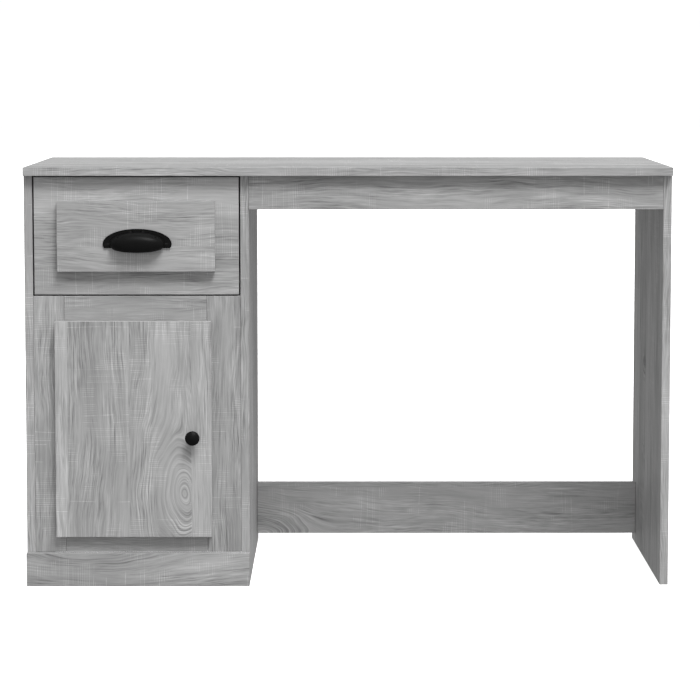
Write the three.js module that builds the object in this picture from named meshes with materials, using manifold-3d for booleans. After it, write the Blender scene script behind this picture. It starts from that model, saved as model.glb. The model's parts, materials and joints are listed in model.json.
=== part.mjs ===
// A writing desk with one drawer and one cupboard: every board and fitting is its own mesh.
// Millimetres, +Z up. X runs along the desk, Y from its front to its back, and the floor is Z = 0.
// All pieces are placed with X = 0 in the middle and Y = 0 at the desktop's front edge. The last
// lines move the whole desk along Y, so that the origin is the middle of its base.

import * as THREE from 'three';
import { mergeVertices } from 'three/addons/utils/BufferGeometryUtils.js';
import Module from 'manifold-3d';

const wasm = await Module();
wasm.setup();

// ---------------------------------------------------------------- driving dimensions

const deskWidth = 1150;
const deskDepth = 500;
const deskHeight = 750;
const board = 15; // thickness of every board
const seam = 0.25; // gap between boards that touch
const caseSetback = 15; // the sides stand this far behind the desktop's front edge

const cabinetWidth = 399;
const plinthHeight = 60;
const hardboard = 3;
const backInset = 3;

const stileLeftWidth = 55;
const stileRightWidth = 60;
const topRailHeight = 60;
const bottomRailHeight = 45;

const apronHeight = 60;
const backRailHeight = 100;
const backRailBottom = 20;
const backRailInset = 45; // from the rail's back face to the desk's back edge

const drawerFrontHeight = 209;
const drawerFrontGap = 2.5; // above and below the drawer front
const drawerFrontSideGap = 2.75;
const drawerPanelMargin = 41.75; // from the front's edge to the raised panel
const drawerSideThickness = 12;
const drawerBoxHeight = 130;
const drawerBoxLift = 11.5; // above the drawer front's lower edge
const drawerBoxLength = 430;
const drawerRunnerGap = 12.5; // between the box and the cabinet's side
const grooveDepth = 6;
const grooveLift = 6;

const doorOverlayLeft = 16;
const doorOverlayRight = 8.25;
const doorOverlayTop = 16;
const doorOverlayBottom = 15.25;
const doorGap = 2; // between the door and the frame it closes on

const knobDiameter = 26;
const knobReach = 25;
const knobFromDoorRight = 33.5;
const knobBelowDoorTop = 207;

const pullWidth = 122;
const pullHeight = 34;
const pullLip = 9; // the lip's plane falls this far below the flange's ends
const pullWidest = 7.5; // the widest line's height above the flange's ends
const pullReach = 25;
const pullWall = 2.5;
const pullFlangeSide = 12;
const pullFlangeTop = 6;
const pullAboveFrontMiddle = -20.5;
const pullRightOfMiddle = 2.5;
const pullScrewSpacing = 64;

const runnerLength = 400;
const runnerSheet = 1.25;
const rollerDiameter = 17;
const rollerWidth = 5;
const rollerBore = 4.5;
const rollerPlay = 0.25; // round the axle, beside the webs and where a roller runs on a flange
const rollerEndInset = 2; // from a runner's end to its roller's rim
const runnerSetback = 2; // from the drawer front's back face

const hingeFromDoorEnd = 70;
const cupDiameter = 35;
const cupDepth = 11.5;
const cupFromDoorEdge = 5;
const cupWall = 1;
const hingeWidth = 14; // the arm's size along the pivots
const hingePlate = 2;
const plateInset = 1.25; // from the frame's front and back faces
const linkWidth = 8;
const linkThickness = 3.4;
const armThickness = 2.6;
const hingePinDiameter = 1.5;
const hingeEyeDiameter = 4.4;
const hingeForkDepth = 6; // how far the arm's fork reaches behind its pin
const armPivot = [30, -8]; // from the door's closed back left corner
const cupPivot = [11.5, -4];

const screwShank = 4;
const screwHead = 8;
const screwHeadHeight = 3;
const screwClearance = 0.5;
const camDiameter = 15;
const camDepth = 12.5;
const camFromEdge = 34;
const camClearance = 0.3;

const roundSegments = 32;
const smallSegments = 20;

// ---------------------------------------------------------------- finishes

const finish = (color, roughness, metalness) => () =>
  new THREE.MeshStandardMaterial({ color, roughness, metalness });

const oakGrey = finish(0xb4b4b4, 0.55, 0);
const hardboardGrey = finish(0xc9c8c5, 0.7, 0);
const drawerWhite = finish(0xd8d8d6, 0.6, 0);
const blackMetal = finish(0x1c1c1c, 0.4, 0.6);
const zincSteel = finish(0xb9bcc0, 0.35, 1);
const runnerWhite = finish(0xe4e4e2, 0.4, 0.3);
const rollerPlastic = finish(0xf0efec, 0.5, 0);

// ---------------------------------------------------------------- making solids

const desk = new THREE.Group();

function add(name, geometry, material) {
  const mesh = new THREE.Mesh(geometry, material());
  mesh.name = name;
  desk.add(mesh);
  return mesh;
}

// A box between two corners, given as [from, to] along each axis.
function block(x, y, z) {
  const geometry = new THREE.BoxGeometry(x[1] - x[0], y[1] - y[0], z[1] - z[0]);
  return geometry.translate((x[0] + x[1]) / 2, (y[0] + y[1]) / 2, (z[0] + z[1]) / 2);
}

// A cylinder from one point along an axis: 'x', 'y' or 'z'.
function rod(axis, from, length, diameter, segments = smallSegments) {
  const geometry = new THREE.CylinderGeometry(diameter / 2, diameter / 2, length, segments);
  geometry.translate(0, length / 2, 0);
  if (axis === 'x') geometry.rotateZ(-Math.PI / 2);
  if (axis === 'z') geometry.rotateX(Math.PI / 2);
  return geometry.translate(...from);
}

// A solid of revolution whose axis points along -Y, from the profile's [radius, distance] points.
function turned(profile, origin, segments = roundSegments) {
  const points = profile.map(([radius, distance]) => new THREE.Vector2(radius, distance));
  return new THREE.LatheGeometry(points, segments).rotateX(Math.PI).translate(...origin);
}

function toSolid(geometry) {
  const bare = geometry.clone();
  bare.deleteAttribute('normal');
  bare.deleteAttribute('uv');
  const merged = mergeVertices(bare, 1e-4);
  return new wasm.Manifold(
    new wasm.Mesh({
      numProp: 3,
      vertProperties: new Float32Array(merged.attributes.position.array),
      triVerts: new Uint32Array(merged.index.array),
    }),
  );
}

function toGeometry(solid) {
  const mesh = solid.getMesh();
  const geometry = new THREE.BufferGeometry();
  geometry.setAttribute('position', new THREE.BufferAttribute(mesh.vertProperties, 3));
  geometry.setIndex(new THREE.BufferAttribute(mesh.triVerts, 1));
  geometry.computeVertexNormals();
  return geometry;
}

function cut(body, ...tools) {
  return toGeometry(tools.reduce((solid, tool) => solid.subtract(toSolid(tool)), toSolid(body)));
}

function join(body, ...others) {
  return toGeometry(others.reduce((solid, other) => solid.add(toSolid(other)), toSolid(body)));
}

function common(body, other) {
  return toGeometry(toSolid(body).intersect(toSolid(other)));
}

// ---------------------------------------------------------------- planes that pieces share

const topZ = deskHeight - board;
const leftX = -deskWidth / 2;
const rightX = deskWidth / 2;
const caseFront = caseSetback;
const frameBack = caseFront + board;
const cabinetRight = leftX + cabinetWidth;
const cabinetInside = [leftX + board, cabinetRight - board];
const cabinetMiddle = (cabinetInside[0] + cabinetInside[1]) / 2;
const kneeSpace = [cabinetRight, rightX - board];
const backPanelFront = deskDepth - backInset - hardboard;

const drawerFrontTop = topZ - drawerFrontGap;
const drawerFrontBottom = drawerFrontTop - drawerFrontHeight;
const frameTop = drawerFrontBottom - drawerFrontGap;
const floorTop = plinthHeight + board;

const doorOpening = {
  x: [cabinetInside[0] + stileLeftWidth, cabinetInside[1] - stileRightWidth],
  z: [plinthHeight + bottomRailHeight, frameTop - topRailHeight],
};

// ---------------------------------------------------------------- cam fittings

// A bore and its cam, in the face of a board. The axis points out of the face.
function camBore(axis, at) {
  const from = axis === 'x' ? [at[0] - camDepth, at[1], at[2]] : [at[0], at[1] - camDepth, at[2]];
  return rod(axis, from, 2 * camDepth, camDiameter, roundSegments);
}

function addCam(name, axis, at, side) {
  const thickness = camDepth - camClearance;
  const start = side > 0 ? -camDepth + camClearance : 0;
  const slotWidth = 2;
  const slotDepth = 3;
  const slotLength = camDiameter * 0.6;
  const from = axis === 'x' ? [at[0] + start, at[1], at[2]] : [at[0], at[1] + start, at[2]];
  const body = rod(axis, from, thickness, camDiameter - 2 * camClearance, roundSegments);
  const half = slotLength / 2;
  const thin = slotWidth / 2;
  const across = (size) => (axis === 'x'
    ? block([at[0] - slotDepth, at[0] + slotDepth], [at[1] - size[0], at[1] + size[0]],
      [at[2] - size[1], at[2] + size[1]])
    : block([at[0] - size[0], at[0] + size[0]], [at[1] - slotDepth, at[1] + slotDepth],
      [at[2] - size[1], at[2] + size[1]]));
  add(name, cut(body, across([half, thin]), across([thin, half])), zincSteel);
}

const camHeight = topZ - camFromEdge;
const camRows = { front: caseFront + 60, back: deskDepth - 60 };

// ---------------------------------------------------------------- carcass

add('desktop', block([leftX, rightX], [0, deskDepth], [topZ, deskHeight]), oakGrey);

function addSide(name, x, insideX, side) {
  const panel = block(x, [caseFront, deskDepth], [0, topZ - seam]);
  const places = Object.values(camRows).map((y) => [insideX, y, camHeight]);
  add(name, cut(panel, ...places.map((at) => camBore('x', at))), oakGrey);
  Object.keys(camRows).forEach((row, i) => addCam(`${name}_cam_${row}`, 'x', places[i], side));
}

addSide('cabinet_side_left', [leftX, cabinetInside[0]], cabinetInside[0], 1);
addSide('cabinet_side_right', [cabinetInside[1], cabinetRight], cabinetInside[1], -1);
addSide('leg_panel', [kneeSpace[1], rightX], kneeSpace[1], -1);

const betweenSides = [cabinetInside[0] + seam, cabinetInside[1] - seam];
const behindFrame = [frameBack + seam, backPanelFront - seam];

add('cabinet_floor', block(betweenSides, behindFrame, [plinthHeight, floorTop]), oakGrey);
add('drawer_divider', block(betweenSides, behindFrame, [frameTop - board, frameTop]), oakGrey);
add(
  'cabinet_back',
  block(betweenSides, [backPanelFront, backPanelFront + hardboard], [plinthHeight, topZ - seam]),
  hardboardGrey,
);
add(
  'plinth',
  block([leftX, cabinetRight], [0, caseFront - seam], [0, plinthHeight]),
  oakGrey,
);

// ---------------------------------------------------------------- face frame round the cupboard

const frameDepth = [caseFront, frameBack];
const betweenStiles = [doorOpening.x[0] + seam, doorOpening.x[1] - seam];

add(
  'frame_stile_left',
  block([betweenSides[0], doorOpening.x[0]], frameDepth, [plinthHeight, frameTop]),
  oakGrey,
);
add(
  'frame_stile_right',
  block([doorOpening.x[1], betweenSides[1]], frameDepth, [plinthHeight, frameTop]),
  oakGrey,
);
add('frame_rail_top', block(betweenStiles, frameDepth, [doorOpening.z[1], frameTop]), oakGrey);
add('frame_rail_bottom', block(betweenStiles, frameDepth, [plinthHeight, doorOpening.z[0]]), oakGrey);

// ---------------------------------------------------------------- apron and back rail

const acrossKnees = [kneeSpace[0] + seam, kneeSpace[1] - seam];

function addCrossRail(name, y, z) {
  const places = {
    left: [acrossKnees[0] + camFromEdge, y[1], (z[0] + z[1]) / 2],
    right: [acrossKnees[1] - camFromEdge, y[1], (z[0] + z[1]) / 2],
  };
  const bores = Object.values(places).map((at) => camBore('y', at));
  add(name, cut(block(acrossKnees, y, z), ...bores), oakGrey);
  Object.entries(places).forEach(([end, at]) => addCam(`${name}_cam_${end}`, 'y', at, 1));
}

const backRailBack = deskDepth - backRailInset;
addCrossRail('apron', frameDepth, [topZ - apronHeight, topZ - seam]);
addCrossRail(
  'back_rail',
  [backRailBack - board, backRailBack],
  [backRailBottom, backRailBottom + backRailHeight],
);

// ---------------------------------------------------------------- drawer

const drawerFrontX = [cabinetInside[0] + drawerFrontSideGap, cabinetInside[1] - drawerFrontSideGap];
const drawerFrontZ = [drawerFrontBottom, drawerFrontTop];
const drawerBoxX = [cabinetInside[0] + drawerRunnerGap, cabinetInside[1] - drawerRunnerGap];
const drawerInsideX = [drawerBoxX[0] + drawerSideThickness, drawerBoxX[1] - drawerSideThickness];
const drawerBoxY = [frameBack + seam, frameBack + drawerBoxLength];
const drawerBoxZ = [
  drawerFrontBottom + drawerBoxLift,
  drawerFrontBottom + drawerBoxLift + drawerBoxHeight,
];
const grooveZ = [drawerBoxZ[0] + grooveLift, drawerBoxZ[0] + grooveLift + hardboard + 2 * seam];
const baseZ = [grooveZ[0] + seam, grooveZ[1] - seam];
const baseReach = grooveDepth - seam;

const pullX = cabinetMiddle + pullRightOfMiddle;
const pullBottom = (drawerFrontZ[0] + drawerFrontZ[1]) / 2 + pullAboveFrontMiddle;
const pullScrewZ = pullBottom + pullHeight / 2;
const pullScrewXs = [pullX - pullScrewSpacing / 2, pullX + pullScrewSpacing / 2];

function screwHole(x, z, y) {
  return rod('y', [x, y[0], z], y[1] - y[0], screwShank + 2 * screwClearance);
}

const pullHoles = pullScrewXs.map((x) => screwHole(x, pullScrewZ, [-board, frameBack + board]));
const baseGroove = block(
  [drawerInsideX[0] - grooveDepth, drawerInsideX[1] + grooveDepth],
  [frameBack - grooveDepth, drawerBoxY[1] + board],
  grooveZ,
);

add(
  'drawer_front',
  cut(block(drawerFrontX, frameDepth, drawerFrontZ), baseGroove, ...pullHoles),
  oakGrey,
);
add(
  'drawer_front_panel',
  cut(
    block(
      [drawerFrontX[0] + drawerPanelMargin, drawerFrontX[1] - drawerPanelMargin],
      [caseFront - board, caseFront - seam],
      [drawerFrontZ[0] + drawerPanelMargin, drawerFrontZ[1] - drawerPanelMargin],
    ),
    ...pullHoles,
  ),
  oakGrey,
);
add(
  'drawer_side_left',
  cut(block([drawerBoxX[0], drawerInsideX[0]], drawerBoxY, drawerBoxZ), baseGroove),
  drawerWhite,
);
add(
  'drawer_side_right',
  cut(block([drawerInsideX[1], drawerBoxX[1]], drawerBoxY, drawerBoxZ), baseGroove),
  drawerWhite,
);
add(
  'drawer_back',
  block(
    [drawerInsideX[0] + seam, drawerInsideX[1] - seam],
    [drawerBoxY[1] - drawerSideThickness, drawerBoxY[1]],
    [grooveZ[1], drawerBoxZ[1]],
  ),
  drawerWhite,
);
add(
  'drawer_base',
  block(
    [drawerInsideX[0] - baseReach, drawerInsideX[1] + baseReach],
    [frameBack - baseReach, drawerBoxY[1]],
    baseZ,
  ),
  hardboardGrey,
);

// ---------------------------------------------------------------- cup pull and its screws

function ellipsoid(halfWidth, reach, height) {
  return new THREE.SphereGeometry(1, roundSegments, smallSegments).scale(halfWidth, reach, height);
}

// Drawn round the point midway between the flange's ends, with its flat back on Y = 0.
function cupPull() {
  const halfWidth = pullWidth / 2;
  const across = [-pullWidth, pullWidth];
  const upwards = [0, 2 * pullHeight];
  const halfHeight = pullHeight - pullWidest;
  const domeSize = [halfWidth - pullFlangeSide, pullReach, halfHeight - pullFlangeTop];
  const outer = ellipsoid(...domeSize).translate(0, 0, pullWidest);
  const hollow = ellipsoid(...domeSize.map((size) => size - pullWall)).translate(0, 0, pullWidest);
  const aheadOfBack = block(across, [-2 * pullReach, 0], [-pullHeight, 2 * pullHeight]);
  const aboveEnds = block(across, [-pullReach, 0], upwards);
  const lipTilt = Math.atan(pullLip / pullReach);
  const aboveLip = block(across, [-2 * pullReach, pullReach], upwards).rotateX(lipTilt);
  const dome = common(common(cut(outer, hollow), aheadOfBack), aboveLip);
  const plate = new THREE.CylinderGeometry(1, 1, pullWall, roundSegments);
  plate.scale(halfWidth, 1, halfHeight).translate(0, -pullWall / 2, pullWidest);
  const flange = common(cut(plate, hollow), aboveEnds);
  const postLength = 0.8 * pullReach;
  const posts = pullScrewXs.map((x) =>
    rod('y', [x - pullX, -postLength, pullHeight / 2], postLength, screwHead));
  const holes = pullScrewXs.map((x) =>
    rod('y', [x - pullX, -pullReach / 3, pullHeight / 2], pullReach, screwShank + 2 * screwClearance));
  return cut(join(dome, flange, ...posts.map((post) => common(post, outer))), ...holes);
}

const panelFace = caseFront - board;
add('cup_pull', cupPull().translate(pullX, panelFace - seam, pullBottom), blackMetal);

// A pan head screw that points towards -Y, with its head's underside on a face at y.
function screw(x, y, z, length) {
  const headRadius = screwHead / 2;
  const domeRadius = headRadius * 0.55;
  const profile = [
    [0, -screwHeadHeight],
    [domeRadius, -screwHeadHeight],
    [headRadius, -screwHeadHeight / 2],
    [headRadius, 0],
    [screwShank / 2, 0],
    [screwShank / 2, length - screwShank / 2],
    [0, length],
  ];
  return turned(profile, [x, y, z], smallSegments);
}

const pullScrewLength = frameBack + seam - panelFace + pullReach / 3 - 1;
['left', 'right'].forEach((end, i) => {
  const geometry = screw(pullScrewXs[i], frameBack + seam, pullScrewZ, pullScrewLength);
  add(`cup_pull_screw_${end}`, geometry, zincSteel);
});

// ---------------------------------------------------------------- drawer runners

// Runner sections are drawn from the cabinet side's inner face, and mirrored for the right side.
const runnerZ = drawerBoxZ[0];
const runnerY = [frameBack + runnerSetback, frameBack + runnerSetback + runnerLength];
const rollerRadius = rollerDiameter / 2;
const caseRollerY = runnerY[0] + rollerRadius + rollerEndInset;
const drawerRollerY = runnerY[1] - rollerRadius - rollerEndInset;
const caseRollerZ = runnerZ + runnerSheet + 2 * rollerPlay + rollerRadius;
const drawerRollerZ = runnerZ + runnerSheet + rollerPlay + rollerRadius;
const drawerFlangeZ = caseRollerZ + rollerRadius + rollerPlay;
const drawerWebU = [drawerRunnerGap - seam - runnerSheet, drawerRunnerGap - seam];
const caseRollerU = seam + runnerSheet + rollerPlay;
const drawerRollerU = drawerWebU[0] - 3 * rollerPlay - rollerWidth;

function mirroredU(side, u) {
  return side > 0
    ? [cabinetInside[0] + u[0], cabinetInside[0] + u[1]]
    : [cabinetInside[1] - u[1], cabinetInside[1] - u[0]];
}

function roller(side, u, y, z) {
  const x = mirroredU(side, [u, u + rollerWidth]);
  const wheel = rod('x', [x[0], y, z], rollerWidth, rollerDiameter, roundSegments);
  return cut(wheel, rod('x', [x[0] - 1, y, z], rollerWidth + 2, rollerBore + 2 * rollerPlay));
}

function addRunner(end, side) {
  const at = (from, to) => mirroredU(side, [from, to]);
  const axle = (x, y, z) => rod('x', [x[0], y, z], x[1] - x[0], rollerBore);
  const caseWebZ = [runnerZ, drawerFlangeZ - 2 * rollerPlay];
  const drawerWebZ = [runnerZ + 2 * runnerSheet, drawerFlangeZ + runnerSheet];
  add(
    `runner_case_${end}`,
    join(
      block(at(seam, seam + runnerSheet), runnerY, caseWebZ),
      block(at(seam, drawerWebU[0] - rollerPlay), runnerY, [runnerZ, runnerZ + runnerSheet]),
      axle(at(seam, caseRollerU + rollerWidth + rollerPlay), caseRollerY, caseRollerZ),
    ),
    runnerWhite,
  );
  add(
    `runner_drawer_${end}`,
    join(
      block(at(...drawerWebU), runnerY, drawerWebZ),
      block(at(caseRollerU + 1, drawerWebU[1]), runnerY, [drawerFlangeZ, drawerFlangeZ + runnerSheet]),
      axle(at(drawerRollerU - rollerPlay, drawerWebU[1]), drawerRollerY, drawerRollerZ),
    ),
    runnerWhite,
  );
  add(`roller_case_${end}`, roller(side, caseRollerU, caseRollerY, caseRollerZ), rollerPlastic);
  add(`roller_drawer_${end}`, roller(side, drawerRollerU, drawerRollerY, drawerRollerZ), rollerPlastic);
}

addRunner('left', 1);
addRunner('right', -1);

// ---------------------------------------------------------------- door, knob and screw

const doorX = [doorOpening.x[0] - doorOverlayLeft, doorOpening.x[1] + doorOverlayRight];
const doorZ = [doorOpening.z[0] - doorOverlayBottom, doorOpening.z[1] + doorOverlayTop];
const doorBack = caseFront - doorGap;
const doorFront = doorBack - board;
const knobX = doorX[1] - knobFromDoorRight;
const knobZ = doorZ[1] - knobBelowDoorTop;
const hingeZs = { top: doorZ[1] - hingeFromDoorEnd, bottom: doorZ[0] + hingeFromDoorEnd };
const cupX = doorX[0] + cupFromDoorEdge + cupDiameter / 2;
const cupClearance = 0.25;

const cupBores = Object.values(hingeZs).map((z) =>
  rod('y', [cupX, doorBack - cupDepth - cupClearance, z], 2 * cupDepth,
    cupDiameter + 2 * cupClearance, roundSegments));
const knobHole = screwHole(knobX, knobZ, [doorFront - board, doorBack + board]);
add(
  'door',
  cut(block(doorX, [doorFront, doorBack], doorZ), knobHole, ...cupBores),
  oakGrey,
);

function knob() {
  const radius = knobDiameter / 2;
  const neck = radius * 0.5;
  const boreRadius = screwShank / 2 + screwClearance;
  const boreDepth = knobReach * 0.55;
  const profile = [
    [0, boreDepth],
    [boreRadius, boreDepth],
    [boreRadius, 0],
    [radius * 0.7, 0],
    [radius * 0.7, 2],
    [neck, 5],
    [neck, 10],
    [radius * 0.85, 14],
    [radius, 17],
    [radius, 20],
    [radius * 0.9, knobReach - 2],
    [radius * 0.6, knobReach - 0.5],
    [0, knobReach],
  ];
  return turned(profile, [knobX, doorFront - seam, knobZ]);
}

add('door_knob', knob(), blackMetal);
add(
  'door_knob_screw',
  screw(knobX, doorBack + seam, knobZ, board + knobReach * 0.55 - 1),
  zincSteel,
);

// ---------------------------------------------------------------- concealed hinges

// Plan positions are counted from the closed door's back left corner.
const hingeAt = ([x, y]) => [doorX[0] + x, doorBack + y];
const pinGap = 0.2;

// A bar between two plan points, with round ends.
function bar(from, to, thickness, z) {
  const angle = Math.atan2(to[1] - from[1], to[0] - from[0]);
  const shape = new THREE.Shape();
  shape.absarc(from[0], from[1], thickness / 2, angle + Math.PI / 2, angle + 1.5 * Math.PI);
  shape.absarc(to[0], to[1], thickness / 2, angle - Math.PI / 2, angle + Math.PI / 2);
  shape.closePath();
  const settings = { depth: z[1] - z[0], bevelEnabled: false, curveSegments: 8 };
  return new THREE.ExtrudeGeometry(shape, settings).translate(0, 0, z[0]);
}

function pinRod(plan, z, diameter) {
  return rod('z', [plan[0], plan[1], z[0]], z[1] - z[0], diameter);
}

function hingeCup(z) {
  const radius = cupDiameter / 2;
  const flangeRadius = radius + 2.5;
  const rim = 0.75;
  const profile = [
    [0, cupDepth - cupWall],
    [radius - cupWall, cupDepth - cupWall],
    [radius - cupWall, -seam - rim],
    [flangeRadius, -seam - rim],
    [flangeRadius, -seam],
    [radius, -seam],
    [radius, cupDepth],
    [0, cupDepth],
  ];
  return turned(profile, [cupX, doorBack, z]);
}

function addHinge(end, z) {
  const across = (width) => [z - width / 2, z + width / 2];
  const armEnd = hingeAt(armPivot);
  const cupEnd = hingeAt(cupPivot);
  const plateX = [doorOpening.x[0] + seam, doorOpening.x[0] + seam + hingePlate];
  const plateY = [caseFront + plateInset, frameBack - plateInset];
  const armX = plateX[1] + seam + armThickness / 2;
  const elbow = [armX, plateY[0] + armThickness / 4];
  const root = [armX, plateY[1] - armThickness / 2];
  const holeDiameter = hingePinDiameter + 2 * pinGap;
  const arm = cut(
    join(
      bar(root, elbow, armThickness, across(hingeWidth)),
      bar(elbow, armEnd, armThickness, across(hingeWidth)),
      pinRod(armEnd, across(hingeWidth), hingeEyeDiameter),
    ),
    pinRod(armEnd, across(linkWidth + 2 * seam), 2 * hingeForkDepth),
    pinRod(armEnd, across(2 * hingeWidth), holeDiameter),
  );
  const link = cut(
    bar(armEnd, cupEnd, linkThickness, across(linkWidth)),
    pinRod(armEnd, across(hingeWidth), holeDiameter),
    pinRod(cupEnd, across(hingeWidth), holeDiameter),
  );
  const cupPinLength = 2 * Math.sqrt((cupDiameter / 2 - cupWall) ** 2
    - (cupX - cupEnd[0] + hingePinDiameter / 2) ** 2) - 2 * pinGap;
  add(`hinge_${end}_cup`, hingeCup(z), zincSteel);
  add(`hinge_${end}_cup_pin`, pinRod(cupEnd, across(cupPinLength), hingePinDiameter), zincSteel);
  add(`hinge_${end}_link`, link, zincSteel);
  add(`hinge_${end}_arm`, arm, zincSteel);
  add(`hinge_${end}_arm_pin`, pinRod(armEnd, across(hingeWidth), hingePinDiameter), zincSteel);
  add(`hinge_${end}_plate`, block(plateX, plateY, across(3 * hingeWidth)), zincSteel);
}

Object.entries(hingeZs).forEach(([end, z]) => addHinge(end, z));

// ---------------------------------------------------------------- origin

// The front-most point is the knob's face, and the back-most is the desktop's back edge.
const frontMost = doorFront - seam - knobReach;
desk.position.y = -(frontMost + deskDepth) / 2;
desk.updateMatrixWorld(true);

export default desk;
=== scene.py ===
# %% [markdown]
# # A grey oak writing desk
# The desk is flat-pack furniture: 15 mm boards with a printed grey oak laminate, a drawer on
# roller runners, a cupboard door on concealed hinges, and two black handles.
# The frame that this script loads holds every board and fitting at its real size, and knows what
# moves. The script dresses it: it finishes each board, remodels each fitting and lights the desk.

# %% Load the frame
import json
import math

import bmesh
import bpy
from mathutils import Matrix, Vector


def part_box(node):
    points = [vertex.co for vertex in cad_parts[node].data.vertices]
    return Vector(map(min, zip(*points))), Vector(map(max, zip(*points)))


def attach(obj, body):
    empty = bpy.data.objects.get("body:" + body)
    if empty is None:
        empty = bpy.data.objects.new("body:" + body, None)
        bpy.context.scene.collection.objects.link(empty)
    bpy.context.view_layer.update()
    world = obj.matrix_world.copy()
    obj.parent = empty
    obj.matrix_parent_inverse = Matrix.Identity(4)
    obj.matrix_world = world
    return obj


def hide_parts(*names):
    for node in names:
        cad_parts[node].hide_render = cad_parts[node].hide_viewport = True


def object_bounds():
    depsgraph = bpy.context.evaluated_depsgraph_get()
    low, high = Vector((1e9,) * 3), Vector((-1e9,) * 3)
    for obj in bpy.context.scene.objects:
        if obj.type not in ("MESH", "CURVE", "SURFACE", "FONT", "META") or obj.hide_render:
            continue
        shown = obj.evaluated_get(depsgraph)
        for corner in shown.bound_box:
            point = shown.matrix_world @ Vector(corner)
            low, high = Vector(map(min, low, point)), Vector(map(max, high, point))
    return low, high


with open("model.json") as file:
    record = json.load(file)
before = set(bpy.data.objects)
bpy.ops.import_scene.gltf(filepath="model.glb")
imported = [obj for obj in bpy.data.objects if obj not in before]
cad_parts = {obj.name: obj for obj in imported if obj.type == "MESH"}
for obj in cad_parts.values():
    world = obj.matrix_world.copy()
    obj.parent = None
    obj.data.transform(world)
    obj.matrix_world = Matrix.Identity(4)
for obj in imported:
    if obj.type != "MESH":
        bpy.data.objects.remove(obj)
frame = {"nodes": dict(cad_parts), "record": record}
cad_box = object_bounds()
MM = 0.001
desk_low, desk_high = cad_box
print("desk", [round(side, 4) for side in desk_high - desk_low])

# %% [markdown]
# ## The camera
# The desk is seen from straight ahead and a little above its top, with a long lens, so its
# upright edges stay almost upright and its depth shows only as a thin strip of desktop.
# The camera's place is counted from the desktop's front edge and from the floor.

# %% Make the camera
CAMERA_LENS = 142.4
CAMERA_DISTANCE = 4.8926
CAMERA_HEIGHT = 0.9495
CAMERA_OFFSET = -0.0026
LOOKS_DOWN = math.radians(5.385)
LOOKS_ASIDE = -0.0013
desktop_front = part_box("desktop")[0].y
camera_data = bpy.data.cameras.new("camera")
camera_data.lens = CAMERA_LENS
camera_data.sensor_width = 36
camera_data.shift_y = -0.05
camera_data.clip_end = 100
camera = bpy.data.objects.new("camera", camera_data)
camera.location = (CAMERA_OFFSET, desktop_front - CAMERA_DISTANCE, CAMERA_HEIGHT)
camera.rotation_euler = (math.pi / 2 - LOOKS_DOWN, 0, LOOKS_ASIDE)
bpy.context.scene.collection.objects.link(camera)
bpy.context.scene.camera = camera
print("camera", [round(value, 3) for value in camera.location])

# %% [markdown]
# ## Finishes: a small tool for node materials
# Every finish is a tree of shader nodes round one Principled shader. Writing out each node and
# link by hand hides the idea of the finish, so `Finish` gives them short names: a value can be a
# number or another node's output, and sums read almost like ordinary formulas.

# %% Finish, the tool that builds materials


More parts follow.
